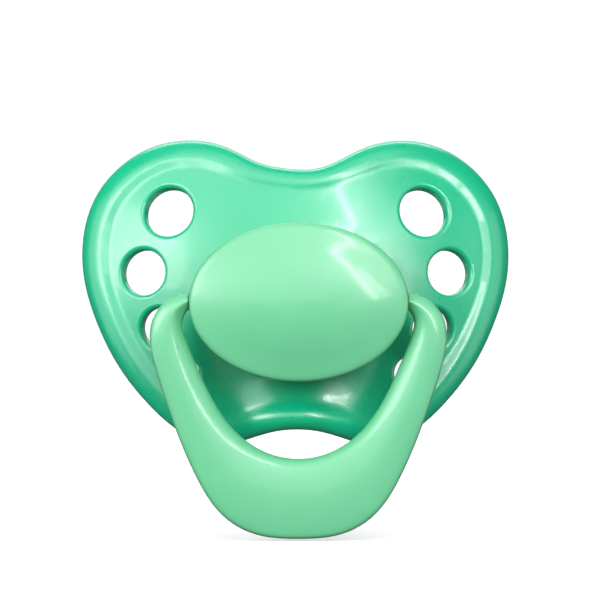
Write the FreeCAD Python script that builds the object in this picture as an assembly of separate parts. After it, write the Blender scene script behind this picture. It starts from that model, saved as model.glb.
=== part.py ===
# Baby pacifier with a folding ring handle.
#
# The shield stands upright: +X is to the right of someone who faces the wearer, -Y is the
# outer side with the knob and ring, +Y points into the mouth and +Z is up. The origin is on
# the teat's axis, in the flat mouth-side seat of the shield. Millimetres throughout.
import FreeCAD, Part
import math
import os

from FreeCAD import Vector

# Shield ----------------------------------------------------------------------------------
# Right half of the shield's outline as (x, z), from the nose notch down to the chin notch.
SHIELD_OUTLINE = [
    (0.0, 14.65),
    (3.9, 15.3),
    (7.4, 17.05),
    (11.4, 17.95),
    (16.25, 17.15),
    (20.0, 14.7),
    (22.3, 11.7),
    (23.65, 7.2),
    (23.55, 2.6),
    (22.3, -1.8),
    (19.85, -6.85),
    (16.4, -11.3),
    (12.65, -14.5),
    (9.5, -15.8),
    (6.1, -15.35),
    (3.0, -14.35),
    (0.0, -14.0),
]
SHIELD_WALL = 2.0            # plateau thickness
SHIELD_WING_RADIUS = 50.0    # sideways curve that follows the cheeks
SHIELD_BROW_RADIUS = 40.0    # up-and-down curve of the upper half
SHIELD_CHIN_RADIUS = 120.0   # up-and-down curve of the lower half
SHIELD_RIBS = 64             # control ribs round the outline
BEAD_HEIGHT = 0.42           # rolled rim bead above the plateau
BEAD_NARROWING = 0.75        # the bead's share of its width left in the nose notch
CHIN_FLARE = 0.2             # extra height of the bead in the middle of the chin
CHIN_CURL = 1.5              # how far the chin's edge curls forward, away from the wearer
CHIN_CURL_START = 7.5        # distance below the centre where the curl starts
CHIN_CURL_RUN = 6.0          # distance over which it comes to its full amount
CHIN_REACH = 9.5             # half width of the curled and flared stretch
NOTCH_REACH = 14.0           # distance from the centre where the notch is deepest
NOTCH_FADE = 5.0             # further out than this beyond it, the bead has its full width
HUB_HALF_X = 8.0             # flat hub seat that carries the knob
HUB_HALF_Z = 7.3
HUB_FRONT = -3.0
HUB_FALL = 1.3               # width of the fillet from the hub down to the plateau
BORE_RADIUS = 5.7            # hole for the teat's neck
SEAT_RADIUS = 7.0            # counterbore for the teat's flange
SEAT_DEPTH = 1.3
SEAT_BLEND = 0.8             # seat widths over which the mouth side takes up its curve

# Vent holes as (x, z, diameter), mirrored to the other side.
VENT_HOLES = [
    (13.9, 9.8, 5.5),
    (16.65, 3.2, 5.0),
    (14.75, -2.9, 4.5),
    (12.4, -7.85, 3.75),
]
VENT_EDGE = 0.45             # rounding of the vent holes' edges
VENT_DRILL = 12.0            # length of the drill that cuts a vent hole

# Knob ------------------------------------------------------------------------------------
KNOB_HALF_X = 11.85
KNOB_HALF_Z = 8.6
KNOB_RIM = 2.4               # depth of the front face's edge, out from the pivot plane
KNOB_CROWN = 1.9             # how far the middle of the front face bulges beyond its edge
KNOB_FRONT_ROUND = 0.9       # rounding between the front face and the side
KNOB_REAR_EDGE = 1.1
BASE_WALL = 1.6
BASE_FLOOR = 1.4
CAP_WALL = 1.9
CAP_RIBS = 32
DOME_STEPS = 10
TOP_FLAT = 0.4               # half length of the dome's level middle
SEAM_ROUND = 0.15            # rounding of the seam between base and cap
LIP_DEPTH = 1.0              # skirt of the cap that locates inside the base
LIP_WALL = 0.8
LIP_GAP = 0.05

# Ring handle -----------------------------------------------------------------------------
PIVOT_Y = -6.4
PIN_RADIUS = 0.9
PIN_GAP = 0.05               # radial running clearance in the knob
PIN_INNER_X = 9.5
PIN_HOLE_SPARE = 1.5         # how much further in than the pin its hole reaches
RING_THICKNESS = 2.9
RING_ROOT_X = 11.95
# Right half of the ring's two edges as (x, z), with z measured from the pivot.
RING_OUTER = [
    (RING_ROOT_X, 0.95),
    (13.7, 0.65),
    (15.45, -0.9),
    (16.15, -3.1),
    (15.25, -8.1),
    (13.4, -13.5),
    (10.95, -19.2),
    (8.25, -23.15),
    (4.5, -25.25),
    (0.0, -25.65),
]
RING_INNER = [
    (RING_ROOT_X, -0.9),
    (12.6, -1.75),
    (12.3, -3.6),
    (11.0, -6.8),
    (9.2, -10.65),
    (6.9, -13.9),
    (3.9, -16.1),
    (0.0, -17.0),
]
RING_INNER_ROUND = 1.5       # rounding of the edge round the opening
RING_OUTER_ROUND = 0.85
RING_CROWN = 0.35            # how far the middle of each face stands proud
RING_RIBS = 40

# Teat and plug ---------------------------------------------------------------------------
TEAT_FLANGE_RADIUS = 6.9
TEAT_NECK_RADIUS = 5.65
TEAT_WALL = 1.3
TEAT_LENGTH = 27.5           # from the shield's seat to the tip
TEAT_BULB_RADIUS = 8.6
TEAT_BULB_TURN = 32.0        # degrees of the bulb's circle before it turns into the neck
TEAT_NECK_EASE = 5.0         # how far the neck keeps each end's direction
PLUG_HEAD_RADIUS = 6.0
PLUG_HEAD = 1.0
PLUG_BORE_RADIUS = 2.8
PLUG_END = 4.0
BARB_RADIUS = 4.55
BARB_START = 0.4
BARB_LENGTH = 2.2

# Worked out from the sizes above.
KNOB_REAR = HUB_FRONT
TEAT_BORE_RADIUS = TEAT_NECK_RADIUS - TEAT_WALL
SEAT_FLOOR = HUB_FRONT + SEAT_DEPTH
BASE_FLOOR_FRONT = KNOB_REAR - BASE_FLOOR


def mirrored(half):
    """Closes a right-hand outline with its mirror image on the left."""
    left = [(-x, z) for x, z in reversed(half[1:-1])]
    return half + left


def cylinder_y(radius, y_start, y_end):
    """A cylinder on the teat's axis."""
    return Part.makeCylinder(radius, y_end - y_start, Vector(0, y_start, 0), Vector(0, 1, 0))


def ellipse_prism(half_x, half_z, y_start, y_end):
    """An elliptical prism on the teat's axis, wide in X."""
    centre = Vector(0, y_start, 0)
    ellipse = Part.Ellipse(centre + Vector(half_x, 0, 0), centre + Vector(0, 0, half_z), centre)
    face = Part.Face(Part.Wire([ellipse.toShape()]))
    return face.extrude(Vector(0, y_end - y_start, 0))


def smooth(share):
    """Eases from 0 to 1 with level ends."""
    share = min(max(share, 0.0), 1.0)
    return share * share * (3.0 - 2.0 * share)


def upright_radius(z):
    """Radius of the up-and-down curve, which is tighter above the knob than below it."""
    return SHIELD_BROW_RADIUS if z > 0 else SHIELD_CHIN_RADIUS


def chin_curl(x, z):
    """How far the middle of the chin curls forward."""
    down = smooth((-z - CHIN_CURL_START) / CHIN_CURL_RUN)
    return CHIN_CURL * down * smooth(1 - abs(x) / CHIN_REACH)


def cheek_curve(x, z):
    """Distance that the shield's mouth side lies behind its centre."""
    sideways = SHIELD_WING_RADIUS - math.sqrt(SHIELD_WING_RADIUS ** 2 - x * x)
    upright = z * z / (2.0 * upright_radius(z))
    return sideways + upright - chin_curl(x, z)


def mouth_side(x, z):
    """Depth of the mouth side, which levels out towards the flat seat round the teat."""
    beyond = math.hypot(x / HUB_HALF_X, z / HUB_HALF_Z) - 1.0
    return cheek_curve(x, z) * smooth(beyond / SEAT_BLEND)


def shield_rib(edge, inward, width):
    """Control points of one rib, from the hub over the rim to the mouth side."""
    angle = math.atan2(edge.z / HUB_HALF_Z, edge.x / HUB_HALF_X)
    hub = Vector(HUB_HALF_X * math.cos(angle), 0, HUB_HALF_Z * math.sin(angle))
    bead = BEAD_HEIGHT * width
    if edge.z < 0:
        bead += CHIN_FLARE * smooth(1 - abs(edge.x) / CHIN_REACH)
    front = -SHIELD_WALL
    # Distance in from the edge and height of each point of the rolled rim.
    rim = [
        (3.8, front),
        (3.2, front),
        (2.75, front - 0.25 * bead),
        (2.2, front - 0.85 * bead),
        (1.5, front - 1.0 * bead),
        (0.85, front - 0.7 * bead),
        (0.3, front),
        (0.0, 0.75 * front),
        (0.0, 0.42 * front),
        (0.05, 0.15 * front),
        (0.5, 0.0),
        (1.4, 0.0),
    ]
    valley = edge + inward * (rim[0][0] * width)
    points = []
    fall = HUB_FALL / (valley - hub).Length
    rise = HUB_FRONT - front - cheek_curve(hub.x, hub.z)
    for step in (0.0, 0.25, 0.5, 0.75, 1.0):
        point = hub + (valley - hub) * (step * fall)
        plateau = cheek_curve(point.x, point.z) + front
        points.append(Vector(point.x, plateau + rise * (1 - smooth(step)), point.z))
    for step in (0.2, 0.4, 0.6, 0.8):
        point = hub + (valley - hub) * (fall + (1 - fall) * step)
        points.append(Vector(point.x, cheek_curve(point.x, point.z) + front, point.z))
    for distance, height in rim:
        point = edge + inward * (distance * width)
        points.append(Vector(point.x, cheek_curve(point.x, point.z) + height, point.z))
    for share in (1.0, 0.85, 0.7, 0.55, 0.4, 0.25, 0.12, 0.0):
        point = hub + (valley - hub) * share
        points.append(Vector(point.x, mouth_side(point.x, point.z), point.z))
    return points


def shield_ribs():
    """Ribs spaced evenly round the outline, each square to the edge."""
    outline = Part.BSplineCurve()
    corners = [Vector(x, 0, z) for x, z in mirrored(SHIELD_OUTLINE)]
    outline.interpolate(Points=corners, PeriodicFlag=True)
    ribs = []
    for edge in outline.discretize(Number=SHIELD_RIBS + 1)[:-1]:
        along = outline.tangent(outline.parameter(edge))[0]
        inward = Vector(-along.z, 0, along.x)
        if inward.dot(edge) > 0:
            inward = inward * -1
        width = 1.0
        if edge.z > 0:
            notch = (edge.Length - NOTCH_REACH) / NOTCH_FADE
            width = BEAD_NARROWING + (1.0 - BEAD_NARROWING) * smooth(notch)
        ribs.append(shield_rib(edge, inward, width))
    return ribs


def through_points(rows):
    """Moves control points outwards so that the smooth band passes through the given points."""
    moved = []
    for before, row, after in zip(rows[-1:] + rows[:-1], rows, rows[1:] + rows[:1]):
        moved.append([p - (a - p * 2 + b) / 6 for a, p, b in zip(before, row, after)])
    return moved


def solid_band(rows):
    """A smooth solid over a closed ring of rows of control points, with a flat face at each end."""
    spans = len(rows[0]) - 3
    around = [1] * (len(rows) + 1)
    across = [4] + [1] * (spans - 1) + [4]
    surface = Part.BSplineSurface()
    surface.buildFromPolesMultsKnots(
        rows, around, across, list(range(len(around))), list(range(spans + 1)),
        True, False, 3, 3)
    skin = surface.toShape()
    ends = [Part.Face(Part.Wire([edge])) for edge in skin.Edges if edge.isClosed()]
    shell = Part.makeShell([skin] + ends)
    shell.sewShape()
    return Part.Solid(shell)


def vent_hole(x, z, diameter):
    """A hole drilled square to the curved wing."""
    tilt = math.asin(x / SHIELD_WING_RADIUS)
    out = Vector(math.tan(tilt), -1, z / upright_radius(z))
    out.normalize()
    middle = Vector(x, cheek_curve(x, z) - SHIELD_WALL / 2, z)
    return Part.makeCylinder(diameter / 2, VENT_DRILL, middle - out * (VENT_DRILL / 2), out)


def shield():
    """The curved shield with its rolled rim, teat seat and vent holes."""
    body = solid_band(through_points(shield_ribs()))
    body = body.cut(cylinder_y(BORE_RADIUS, HUB_FRONT - 1, 3))
    body = body.cut(cylinder_y(SEAT_RADIUS, HUB_FRONT - 1, SEAT_FLOOR))
    for x, z, diameter in VENT_HOLES:
        for side in (1, -1):
            body = body.cut(vent_hole(side * x, z, diameter))
    body = body.Solids[0]
    return body.makeFillet(VENT_EDGE, vent_edges(body))


def vent_edges(body):
    """The front and rear edges of all vent holes."""
    found = []
    for edge in body.Edges:
        middle = edge.BoundBox.Center
        straight = isinstance(edge.Curve, Part.Line)
        for x, z, diameter in VENT_HOLES:
            near = math.hypot(abs(middle.x) - x, middle.z - z) < 0.6 * diameter
            if near and not straight and edge.Length < 4 * diameter:
                found.append(edge)
    return found


def on_x_axis(radius, x_start, x_end):
    """A cylinder on the ring's pivot axis."""
    start = Vector(x_start, PIVOT_Y, 0)
    return Part.makeCylinder(radius, x_end - x_start, start, Vector(1, 0, 0))


def pin_holes():
    """Both pivot holes of the knob, in one shape."""
    radius = PIN_RADIUS + PIN_GAP
    outer = KNOB_HALF_X + 1
    inner = PIN_INNER_X - PIN_HOLE_SPARE
    return on_x_axis(radius, inner, outer).fuse(on_x_axis(radius, -outer, -inner))


def edges_at(body, y):
    """Edges that lie in the plane at depth y."""
    return [edge for edge in body.Edges
            if abs(edge.BoundBox.YMin - y) < 0.01 and abs(edge.BoundBox.YMax - y) < 0.01]


def knob_base():
    """Rear half of the knob: the cup that sits on the shield's hub."""
    body = ellipse_prism(KNOB_HALF_X, KNOB_HALF_Z, PIVOT_Y, KNOB_REAR)
    body = body.makeFillet(KNOB_REAR_EDGE, edges_at(body, KNOB_REAR))
    body = body.makeFillet(SEAM_ROUND, edges_at(body, PIVOT_Y))
    hollow = ellipse_prism(KNOB_HALF_X - BASE_WALL, KNOB_HALF_Z - BASE_WALL,
                           PIVOT_Y - 1, BASE_FLOOR_FRONT)
    body = body.cut(hollow)
    body = body.cut(cylinder_y(TEAT_BORE_RADIUS, PIVOT_Y, KNOB_REAR + 1))
    return body.cut(pin_holes()).Solids[0]


def dome_curve(half_x, rim):
    """Radius in X and depth of points down a gently domed face, from its middle to its edge."""
    points = [(TOP_FLAT, rim + KNOB_CROWN)]
    for step in range(1, DOME_STEPS + 1):
        radius = (half_x - KNOB_FRONT_ROUND) * step / DOME_STEPS
        points.append((radius, rim + KNOB_CROWN * (1 - (radius / half_x) ** 2)))
    return points


def cap_rib(angle):
    """Control points over the cap's outer dome, round its edge and up inside."""
    inner = KNOB_HALF_X - CAP_WALL
    outer_dome = dome_curve(KNOB_HALF_X, KNOB_RIM)
    inner_dome = dome_curve(inner, KNOB_RIM - CAP_WALL)
    edge = [
        (KNOB_HALF_X - 0.45 * KNOB_FRONT_ROUND, KNOB_RIM + 0.15 * KNOB_FRONT_ROUND),
        (KNOB_HALF_X - 0.1 * KNOB_FRONT_ROUND, KNOB_RIM - 0.05 * KNOB_FRONT_ROUND),
        (KNOB_HALF_X, KNOB_RIM - 0.4 * KNOB_FRONT_ROUND),
        (KNOB_HALF_X, KNOB_RIM - KNOB_FRONT_ROUND),
        (KNOB_HALF_X, 0.3 * KNOB_RIM),
        (KNOB_HALF_X, 2 * SEAM_ROUND),
        (KNOB_HALF_X, 0.5 * SEAM_ROUND),
        (KNOB_HALF_X - SEAM_ROUND, 0.0),
        (KNOB_HALF_X - CAP_WALL / 2, 0.0),
        (inner + SEAM_ROUND, 0.0),
        (inner, 0.5 * SEAM_ROUND),
        (inner, 2 * SEAM_ROUND),
    ]
    points = []
    for radius, depth in outer_dome + edge + inner_dome[::-1]:
        sideways = radius * math.cos(angle)
        upright = (radius - KNOB_HALF_X + KNOB_HALF_Z) * math.sin(angle)
        if radius < inner:
            upright = radius * (inner - KNOB_HALF_X + KNOB_HALF_Z) / inner * math.sin(angle)
        points.append(Vector(sideways, PIVOT_Y - depth, upright))
    return points


def lip():
    """Skirt that locates the cap in the base, with a gap at each pivot."""
    half_x = KNOB_HALF_X - BASE_WALL - LIP_GAP
    half_z = KNOB_HALF_Z - BASE_WALL - LIP_GAP
    ring = ellipse_prism(half_x, half_z, PIVOT_Y - 1, PIVOT_Y + LIP_DEPTH)
    core = ellipse_prism(half_x - LIP_WALL, half_z - LIP_WALL, PIVOT_Y - 2, PIVOT_Y + 2)
    gap = 2 * (PIN_RADIUS + 1)
    slot = Part.makeBox(2 * KNOB_HALF_X, 6, gap, Vector(-KNOB_HALF_X, PIVOT_Y - 3, -gap / 2))
    return ring.cut(core).cut(slot)


def knob_cap():
    """Front half of the knob, a domed oval shell."""
    ribs = [cap_rib(2 * math.pi * rib / CAP_RIBS) for rib in range(CAP_RIBS)]
    body = solid_band(through_points(ribs))
    body = body.fuse(lip())
    return body.cut(pin_holes()).Solids[0]


def smooth_edge(points):
    """Points evenly spaced along a smooth curve through the half edge and its mirror image."""
    left = [(-x, z) for x, z in points[:-1]]
    whole = [Vector(x, PIVOT_Y, z) for x, z in left + points[::-1]]
    curve = Part.BSplineCurve()
    curve.interpolate(Points=whole)
    return curve.discretize(Number=RING_RIBS + 1)


def ring_rib(outer, inner):
    """Control points of one closed section of the ring, from its outer to its inner edge."""
    across = inner - outer
    width = across.Length
    across.normalize()
    half = RING_THICKNESS / 2
    outer_round = min(RING_OUTER_ROUND, 0.4 * width)
    inner_round = min(RING_INNER_ROUND, 0.5 * width)
    # Distance in from the outer edge and height of one face, as control points.
    face = [
        (0.0, 0.45 * half),
        (0.12 * outer_round, half - 0.35 * outer_round),
        (0.6 * outer_round, half),
        (0.5 * width, half + RING_CROWN),
        (width - 0.75 * inner_round, half),
        (width - 0.2 * inner_round, half - 0.35 * inner_round),
        (width, 0.3 * half),
    ]
    front = [outer + across * along + Vector(0, -height, 0) for along, height in face]
    rear = [outer + across * along + Vector(0, height, 0) for along, height in face[::-1]]
    return front + rear


def ring_handle():
    """The U-shaped ring with its two pivot pins."""
    ribs = [ring_rib(a, b) for a, b in zip(smooth_edge(RING_OUTER), smooth_edge(RING_INNER))]
    body = solid_band([list(row) for row in zip(*ribs)])
    for start, end in ((PIN_INNER_X, RING_ROOT_X + 1), (-RING_ROOT_X - 1, -PIN_INNER_X)):
        body = body.fuse(on_x_axis(PIN_RADIUS, start, end))
    return body.Solids[0]


def teat_wall(inset):
    """Neck and bulb of the teat's profile in the XY plane, moved inwards by inset."""
    radius = TEAT_BULB_RADIUS - inset
    centre = TEAT_LENGTH - TEAT_BULB_RADIUS
    turn = math.radians(TEAT_BULB_TURN)
    join = Vector(radius * math.cos(turn), centre - radius * math.sin(turn), 0)
    middle = Vector(radius * math.cos(turn / 2), centre + radius * math.sin(turn / 2), 0)
    tip = Vector(0, centre + radius, 0)
    bulb = Part.Arc(join, middle, tip).toShape()
    down = Vector(-math.sin(turn), -math.cos(turn), 0)
    root = Vector(TEAT_NECK_RADIUS - inset, 0, 0)
    neck = Part.BezierCurve()
    neck.setPoles([join, join + down * TEAT_NECK_EASE, root + Vector(0, TEAT_NECK_EASE, 0), root])
    return [bulb, neck.toShape()]


def teat():
    """Hollow silicone teat with the flange that the knob clamps on the shield."""
    bore = TEAT_BORE_RADIUS
    corners = [
        Vector(bore, 0, 0),
        Vector(bore, HUB_FRONT, 0),
        Vector(TEAT_FLANGE_RADIUS, HUB_FRONT, 0),
        Vector(TEAT_FLANGE_RADIUS, SEAT_FLOOR, 0),
        Vector(TEAT_NECK_RADIUS, SEAT_FLOOR, 0),
        Vector(TEAT_NECK_RADIUS, 0, 0),
    ]
    edges = [Part.makeLine(a, b) for a, b in zip(corners, corners[1:])]
    edges.append(Part.makeLine(Vector(0, TEAT_LENGTH, 0), Vector(0, TEAT_LENGTH - TEAT_WALL, 0)))
    edges.extend(teat_wall(0.0))
    edges.extend(teat_wall(TEAT_WALL))
    profile = Part.Face(Part.Wire(Part.__sortEdges__(edges)))
    return profile.revolve(Vector(0, 0, 0), Vector(0, 1, 0), 360)


def teat_plug():
    """Barbed hollow plug that pins the teat and the knob's base to the shield."""
    shank = TEAT_BORE_RADIUS
    head_front = BASE_FLOOR_FRONT - PLUG_HEAD
    body = cylinder_y(PLUG_HEAD_RADIUS, head_front, BASE_FLOOR_FRONT)
    body = body.fuse(cylinder_y(shank, BASE_FLOOR_FRONT, PLUG_END))
    start = Vector(0, BARB_START, 0)
    barb = Part.makeCone(BARB_RADIUS, shank, BARB_LENGTH, start, Vector(0, 1, 0))
    body = body.fuse(barb)
    return body.cut(cylinder_y(PLUG_BORE_RADIUS, head_front - 1, PLUG_END + 1)).Solids[0]


def main():
    os.makedirs("parts", exist_ok=True)
    for make in (shield, teat, teat_plug, knob_base, knob_cap, ring_handle):
        shape = make()
        shape.exportStep("parts/" + make.__name__ + ".step")
        print(make.__name__, "valid" if shape.isValid() else "NOT VALID",
              len(shape.Solids), "solid", round(shape.Volume, 1), "mm3")


main()
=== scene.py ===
"""Baby pacifier in a pale studio cove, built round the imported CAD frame. Metres."""
import math

import bmesh
import bpy
from mathutils import Matrix, Vector


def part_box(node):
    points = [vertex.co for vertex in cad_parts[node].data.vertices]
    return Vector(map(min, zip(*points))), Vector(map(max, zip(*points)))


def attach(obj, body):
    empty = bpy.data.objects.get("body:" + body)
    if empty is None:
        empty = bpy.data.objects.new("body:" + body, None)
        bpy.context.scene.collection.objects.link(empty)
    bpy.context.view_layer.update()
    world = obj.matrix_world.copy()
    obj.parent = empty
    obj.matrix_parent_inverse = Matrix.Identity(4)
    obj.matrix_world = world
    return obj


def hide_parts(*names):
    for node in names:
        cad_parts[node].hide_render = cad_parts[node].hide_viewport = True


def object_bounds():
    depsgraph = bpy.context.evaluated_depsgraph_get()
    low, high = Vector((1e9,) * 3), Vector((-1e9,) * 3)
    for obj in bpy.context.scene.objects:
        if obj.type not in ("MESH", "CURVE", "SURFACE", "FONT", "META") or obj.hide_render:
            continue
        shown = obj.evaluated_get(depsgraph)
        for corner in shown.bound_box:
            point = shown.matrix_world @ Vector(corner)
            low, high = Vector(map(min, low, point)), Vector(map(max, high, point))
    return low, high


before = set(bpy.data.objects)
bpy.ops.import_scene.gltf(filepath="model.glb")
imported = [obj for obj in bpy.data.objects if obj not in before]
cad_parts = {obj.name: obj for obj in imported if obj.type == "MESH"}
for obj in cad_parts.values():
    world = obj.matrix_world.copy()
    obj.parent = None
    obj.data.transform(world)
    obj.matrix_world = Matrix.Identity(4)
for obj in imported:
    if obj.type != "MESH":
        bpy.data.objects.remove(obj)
cad_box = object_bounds()

MM = 0.001

# Camera: a frontal view, a little from the left.
VIEW_AZIMUTH = math.radians(-1.5)
VIEW_DISTANCE = 0.400
VIEW_WIDTH = 0.066           # width of the view at the shield
VIEW_TARGET = Vector((0.00035, 0.0, 0.0002))
SENSOR = 36.0                # millimetres
CLIP_START = 0.01
CLIP_END = 10.0

# Studio cove: a pale floor that curves up all round.
COVE_RADIUS = 1.0            # where the floor starts to curve
COVE_CURVE = 0.3
COVE_HEIGHT = 1.2
COVE_STEPS = 10
COVE_SIDES = 96
COVE_MIDDLE = 0.1            # radius of the first ring of points on the floor
COVE_GREY = 0.75
COVE_ROUGHNESS = 0.9
FLOOR_GAP = 0.0002           # the ring hangs just clear of the floor
COVE_GLOW = 0.5              # strength of the cove's own light, which keeps it pale
AMBIENT = 0.09               # strength of the light from all round

# Soft boxes: name, width and height, power in watts, place, and turn about the box's own
# axis in degrees. Every box faces the middle of the shield.
SOFT_BOXES = [
    ("front_box", (0.70, 0.42), 1.60, (-0.18, -0.42, 0.19), 0.0),
    ("key_strip", (0.012, 0.28), 0.42, (0.130, -0.330, 0.135), 20.0),
    ("edge_strip", (0.008, 0.14), 0.10, (0.176, -0.330, 0.085), 24.0),
    ("key_box", (0.08, 0.26), 0.14, (0.163, -0.330, 0.172), 20.0),
    ("left_box", (0.14, 0.16), 0.50, (-0.260, -0.300, 0.110), 0.0),
    ("left_wide", (0.30, 0.40), 0.55, (-0.450, -0.160, 0.060), 0.0),
    ("right_wide", (0.34, 0.40), 0.50, (0.450, -0.180, 0.020), 0.0),
    ("top_box", (0.45, 0.25), 0.40, (0.0, -0.25, 0.38), 0.0),
    ("rear_box", (0.60, 0.50), 1.00, (0.0, 0.50, 0.30), 0.0),
]
# The lamp on the cove: width and height, power and place. It faces the wall behind the teat.
COVE_LAMP = ((1.0, 0.4), 9.0, (0.0, 0.5, 0.9))
COVE_AIM = Vector((0.0, 1.25, 0.05))

# Teat, in millimetres. Its length, flange and bulb come from the CAD node's box.
TEAT_WALL = 1.3
TEAT_NECK = 5.65             # outer radius of the neck
TEAT_SEAT = 1.3              # thickness of the flange
TEAT_EDGE = 0.3              # rounding of the flange's edge
TEAT_FLANGE = 6.9
TEAT_EDGE_STEPS = 6
BULB_TURN = math.radians(32.0)
BULB_STEPS = 36
NECK_EASE = 5.0              # how far the neck keeps the direction of each of its ends
NECK_STEPS = 20
TEAT_SIDES = 96
HARD_CORNER = math.radians(50)

# The mould's parting line on the teat, in millimetres.
PARTING_HEIGHT = 0.05
PARTING_WIDTH = 0.25
PARTING_REACH = 1.0          # further from the line than this its height changes no more
PARTING_START = 2.0          # depth where it starts to rise from the neck
PARTING_RUN = 3.0            # depth over which it rises
PARTING_TIP_ROWS = 2         # rows of points at the tip that it leaves out

# Materials. Noise runs between these two values over most of a surface.
NOISE_LOW = 0.3
NOISE_HIGH = 0.7
FINE_GRAIN = 0.30            # millimetres across
FINE_GRAIN_HEIGHT = 0.0001   # millimetres
PEEL_SIZE = 2.4              # millimetres across one wave of orange peel
PLASTIC_IOR = 1.55
PLASTIC_COAT = 0.35
PLASTIC_COAT_ROUGHNESS = 0.11
SILICONE_IOR = 1.41
SILICONE_CLEARNESS = 0.45


def link(name, data):
    """Adds an object to the scene."""
    item = bpy.data.objects.new(name, data)
    bpy.context.scene.collection.objects.link(item)
    return item


def mesh_object(name, points, faces):
    """A smooth-shaded mesh object."""
    mesh = bpy.data.meshes.new(name)
    mesh.from_pydata(points, [], faces)
    mesh.polygons.foreach_set("use_smooth", [True] * len(faces))
    mesh.update()
    return link(name, mesh)


def camera():
    """The scene's camera."""
    data = bpy.data.cameras.new("camera")
    data.sensor_width = SENSOR
    data.lens = SENSOR * VIEW_DISTANCE / VIEW_WIDTH
    data.clip_start = CLIP_START
    data.clip_end = CLIP_END
    cam = link("camera", data)
    direction = Vector((math.sin(VIEW_AZIMUTH), -math.cos(VIEW_AZIMUTH), 0.0))
    cam.location = VIEW_TARGET + VIEW_DISTANCE * direction
    cam.rotation_euler = (-direction).to_track_quat("-Z", "Y").to_euler()
    bpy.context.scene.camera = cam


def soft_box(name, size, power, place, turn, aim):
    """A rectangular lamp that faces aim."""
    data = bpy.data.lights.new(name, "AREA")
    data.shape = "RECTANGLE"
    data.size = size[0]
    data.size_y = size[1]
    data.energy = power
    lamp = link(name, data)
    lamp.visible_camera = False
    facing = (aim - Vector(place)).to_track_quat("-Z", "Y").to_matrix().to_4x4()
    spin = Matrix.Rotation(math.radians(turn), 4, "Z")
    lamp.matrix_world = Matrix.Translation(place) @ facing @ spin


def lights():
    """Soft boxes round the object, one lamp on the cove behind it, and low ambient light."""
    for name, size, power, place, turn in SOFT_BOXES:
        soft_box(name, size, power, place, turn, Vector((0, 0, 0)))
    size, power, place = COVE_LAMP
    soft_box("cove_lamp", size, power, place, 0.0, COVE_AIM)
    world = bpy.data.worlds.new("world")
    world.use_nodes = True
    sky = world.node_tree.nodes["Background"].inputs
    sky["Color"].default_value = (1, 1, 1, 1)
    sky["Strength"].default_value = AMBIENT
    bpy.context.scene.world = world
    bpy.context.scene.view_settings.view_transform = "Standard"


def cove_profile(floor):
    """Radius and height of the cove's section, from the middle of the floor to the wall's top."""
    section = [(COVE_MIDDLE, floor), (COVE_RADIUS / 2, floor)]
    for step in range(COVE_STEPS + 1):
        angle = math.pi / 2 * step / COVE_STEPS
        section.append((COVE_RADIUS + COVE_CURVE * math.sin(angle),
                        floor + COVE_CURVE * (1 - math.cos(angle))))
    section.append((COVE_RADIUS + COVE_CURVE, floor + COVE_HEIGHT))
    return section


def cove():
    """The pale floor and wall. They neither light nor shade the plastic parts."""
    section = cove_profile(cad_box[0][2] - FLOOR_GAP)
    points = [(0.0, 0.0, section[0][1])]
    for radius, height in section:
        for side in range(COVE_SIDES):
            angle = 2 * math.pi * side / COVE_SIDES
            points.append((radius * math.cos(angle), radius * math.sin(angle), height))
    faces = []
    for side in range(COVE_SIDES):
        after = (side + 1) % COVE_SIDES
        faces.append((0, 1 + side, 1 + after))
        for row in range(len(section) - 1):
            low = 1 + row * COVE_SIDES
            high = low + COVE_SIDES
            faces.append((low + side, high + side, high + after, low + after))
    floor = mesh_object("cove", points, faces)
    floor.visible_diffuse = False
    floor.visible_glossy = False
    floor.visible_shadow = False
    paper = Material("cove", (COVE_GREY, COVE_GREY, COVE_GREY), COVE_ROUGHNESS)
    paper.set("Emission Color", (1, 1, 1, 1))
    paper.set("Emission Strength", COVE_GLOW)
    floor.data.materials.append(paper.data)


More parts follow.
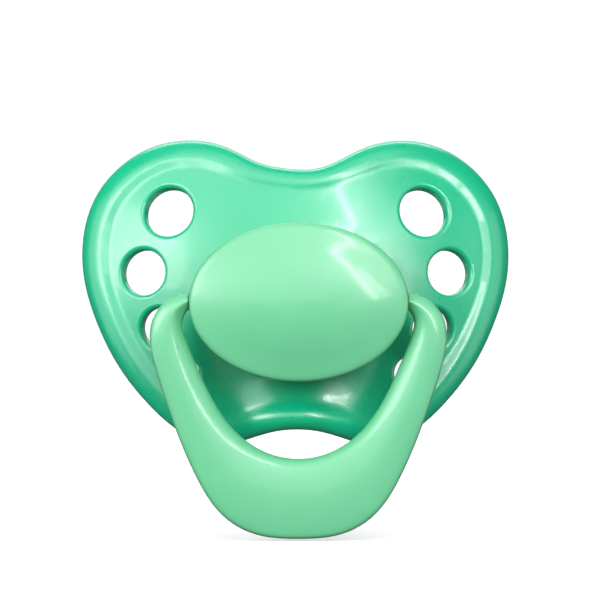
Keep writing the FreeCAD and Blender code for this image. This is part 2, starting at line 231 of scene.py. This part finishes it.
class Material:
    """A node material whose colour, roughness and relief vary with noise in object space."""

    def __init__(self, name, color, roughness):
        self.data = bpy.data.materials.new(name)
        self.data.use_nodes = True
        self.tree = self.data.node_tree
        self.shader = self.tree.nodes["Principled BSDF"]
        self.color = color
        self.set("Base Color", (*color, 1))
        self.set("Roughness", roughness)
        self.place = self.tree.nodes.new("ShaderNodeTexCoord").outputs["Object"]

    def set(self, socket, value):
        """Sets one of the shader's own sockets."""
        self.shader.inputs[socket].default_value = value

    def noise(self, size, detail):
        """Noise whose features are about size millimetres across."""
        mapping = self.tree.nodes.new("ShaderNodeMapping")
        mapping.inputs["Scale"].default_value = [1 / (size * MM)] * 3
        self.tree.links.new(self.place, mapping.inputs["Vector"])
        node = self.tree.nodes.new("ShaderNodeTexNoise")
        node.inputs["Scale"].default_value = 1.0
        node.inputs["Detail"].default_value = detail
        self.tree.links.new(mapping.outputs["Vector"], node.inputs["Vector"])
        return node.outputs["Fac"]

    def spread(self, value, low, high):
        """Maps noise to the range from low to high."""
        node = self.tree.nodes.new("ShaderNodeMapRange")
        node.inputs["From Min"].default_value = NOISE_LOW
        node.inputs["From Max"].default_value = NOISE_HIGH
        node.inputs["To Min"].default_value = low
        node.inputs["To Max"].default_value = high
        self.tree.links.new(value, node.inputs["Value"])
        return node.outputs["Result"]

    def mottle(self, value, change):
        """Lets the base colour vary a little: change is the share of it lost at full noise."""
        node = self.tree.nodes.new("ShaderNodeMix")
        node.data_type = "RGBA"
        dull = [part * (1 - change) for part in self.color]
        node.inputs["A"].default_value = (*self.color, 1)
        node.inputs["B"].default_value = (*dull, 1)
        self.tree.links.new(self.spread(value, 0.0, 1.0), node.inputs["Factor"])
        self.tree.links.new(node.outputs["Result"], self.shader.inputs["Base Color"])

    def gloss(self, value, low, high):
        """Lets the roughness vary between low and high."""
        self.tree.links.new(self.spread(value, low, high), self.shader.inputs["Roughness"])

    def relief(self, *layers):
        """Stacks bump layers, each a noise value and its height in millimetres."""
        normal = None
        for value, height in layers:
            node = self.tree.nodes.new("ShaderNodeBump")
            node.inputs["Strength"].default_value = 1.0
            node.inputs["Distance"].default_value = height * MM
            self.tree.links.new(value, node.inputs["Height"])
            if normal:
                self.tree.links.new(normal, node.inputs["Normal"])
            normal = node.outputs["Normal"]
        self.tree.links.new(normal, self.shader.inputs["Normal"])


def moulded_plastic(name, color, gloss_low, gloss_high, peel, shine):
    """Injection-moulded plastic with faint flow mottling and a polished skin.

    Roughness varies between gloss_low and gloss_high, peel is the height of the orange peel in
    millimetres and shine is the shader's specular level.
    """
    material = Material(name, color, gloss_low)
    material.mottle(material.noise(7.0, 1.0), 0.05)
    material.gloss(material.noise(1.6, 1.0), gloss_low, gloss_high)
    material.relief((material.noise(PEEL_SIZE, 0.0), peel),
                    (material.noise(FINE_GRAIN, 0.0), FINE_GRAIN_HEIGHT))
    material.set("IOR", PLASTIC_IOR)
    material.set("Specular IOR Level", shine)
    material.set("Coat Weight", PLASTIC_COAT)
    material.set("Coat Roughness", PLASTIC_COAT_ROUGHNESS)
    return material.data


def silicone(name):
    """Clear, slightly milky liquid silicone rubber."""
    material = Material(name, (0.93, 0.92, 0.88), 0.25)
    material.mottle(material.noise(5.0, 1.0), 0.03)
    material.gloss(material.noise(1.2, 1.0), 0.20, 0.28)
    material.relief((material.noise(PEEL_SIZE, 0.0), 0.003),
                    (material.noise(FINE_GRAIN, 0.0), FINE_GRAIN_HEIGHT))
    material.set("IOR", SILICONE_IOR)
    material.set("Transmission Weight", SILICONE_CLEARNESS)
    return material.data


def teat_curve(inset, tip):
    """Radius and depth of points from the neck's root to the tip, moved inwards by inset."""
    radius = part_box("teat")[1][0] / MM - inset
    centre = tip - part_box("teat")[1][0] / MM
    join = Vector((radius * math.cos(BULB_TURN), centre - radius * math.sin(BULB_TURN)))
    down = Vector((-math.sin(BULB_TURN), -math.cos(BULB_TURN)))
    root = Vector((TEAT_NECK - inset, 0.0))
    poles = (root, root + Vector((0, NECK_EASE)), join + down * NECK_EASE, join)
    points = []
    for step in range(NECK_STEPS):
        share = step / NECK_STEPS
        rest = 1 - share
        weights = (rest ** 3, 3 * rest ** 2 * share, 3 * rest * share ** 2, share ** 3)
        pulls = (pole * weight for pole, weight in zip(poles, weights))
        points.append(sum(pulls, Vector((0, 0))))
    for step in range(BULB_STEPS + 1):
        angle = -BULB_TURN + (math.pi / 2 + BULB_TURN) * step / BULB_STEPS
        points.append(Vector((radius * math.cos(angle), centre + radius * math.sin(angle))))
    points[-1].x = 0.0
    return points


def teat_section():
    """The teat's closed section: up the outside to the tip and back down the inside."""
    low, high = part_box("teat")
    front = low[1] / MM
    tip = high[1] / MM
    bore = TEAT_NECK - TEAT_WALL
    seat = front + TEAT_SEAT
    edge = []
    for step in range(TEAT_EDGE_STEPS + 1):
        angle = math.pi / 2 * step / TEAT_EDGE_STEPS
        edge.append((TEAT_FLANGE - TEAT_EDGE + TEAT_EDGE * math.sin(angle),
                     front + TEAT_EDGE - TEAT_EDGE * math.cos(angle)))
    rear_edge = [(r, front + seat - y) for r, y in reversed(edge)]
    flange = [(bore, front), (0.5 * (bore + TEAT_FLANGE), front)] + edge + rear_edge
    neck = [(TEAT_NECK, seat), (TEAT_NECK, 0.5 * seat)]
    inner = [tuple(point) for point in reversed(teat_curve(TEAT_WALL, tip))]
    return flange + neck + [tuple(point) for point in teat_curve(0.0, tip)] + inner


def parting(radius, depth, angle):
    """Height of the fine line that the two halves of the mould leave on the outer skin."""
    off = min(abs(math.sin(angle)) * radius, PARTING_REACH)
    rise = min(max((depth - PARTING_START) / PARTING_RUN, 0.0), 1.0)
    return PARTING_HEIGHT * math.exp(-(off / PARTING_WIDTH) ** 2) * rise


def teat():
    """The soft teat, hollow, with its flange between the knob and the shield."""
    section = teat_section()
    outer = section.index(max(section, key=lambda point: point[1]))
    points = []
    for index, (radius, depth) in enumerate(section):
        for side in range(TEAT_SIDES):
            angle = 2 * math.pi * side / TEAT_SIDES
            out = radius
            if index < outer - PARTING_TIP_ROWS:
                out += parting(radius, depth, angle)
            points.append((out * math.cos(angle) * MM, depth * MM, out * math.sin(angle) * MM))
    faces = []
    rows = len(section)
    for row in range(rows):
        after = (row + 1) % rows
        for side in range(TEAT_SIDES):
            beside = (side + 1) % TEAT_SIDES
            faces.append((row * TEAT_SIDES + side, after * TEAT_SIDES + side,
                          after * TEAT_SIDES + beside, row * TEAT_SIDES + beside))
    skin = mesh_object("teat_skin", points, faces)
    clean(skin.data)
    skin.data.materials.append(silicone("silicone"))
    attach(skin, "soother")
    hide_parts("teat")


def clean(mesh):
    """Merges points that coincide, turns every face outwards and keeps hard corners."""
    work = bmesh.new()
    work.from_mesh(mesh)
    bmesh.ops.remove_doubles(work, verts=work.verts, dist=1e-7)
    bmesh.ops.dissolve_degenerate(work, edges=work.edges, dist=1e-8)
    bmesh.ops.recalc_face_normals(work, faces=work.faces)
    work.to_mesh(mesh)
    work.free()
    mesh.set_sharp_from_angle(angle=HARD_CORNER)


def dress(material, *names):
    """Gives CAD nodes a better material."""
    for name in names:
        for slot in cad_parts[name].material_slots:
            slot.material = material


camera()
lights()
cove()
teat()
shield_plastic = moulded_plastic("shield_plastic", (0.003, 0.50, 0.25), 0.27, 0.34, 0.003, 0.75)
knob_plastic = moulded_plastic("knob_plastic", (0.145, 0.59, 0.30), 0.34, 0.42, 0.004, 0.65)
dress(shield_plastic, "shield")
dress(knob_plastic, "knob_base", "knob_cap", "ring_handle", "teat_plug")
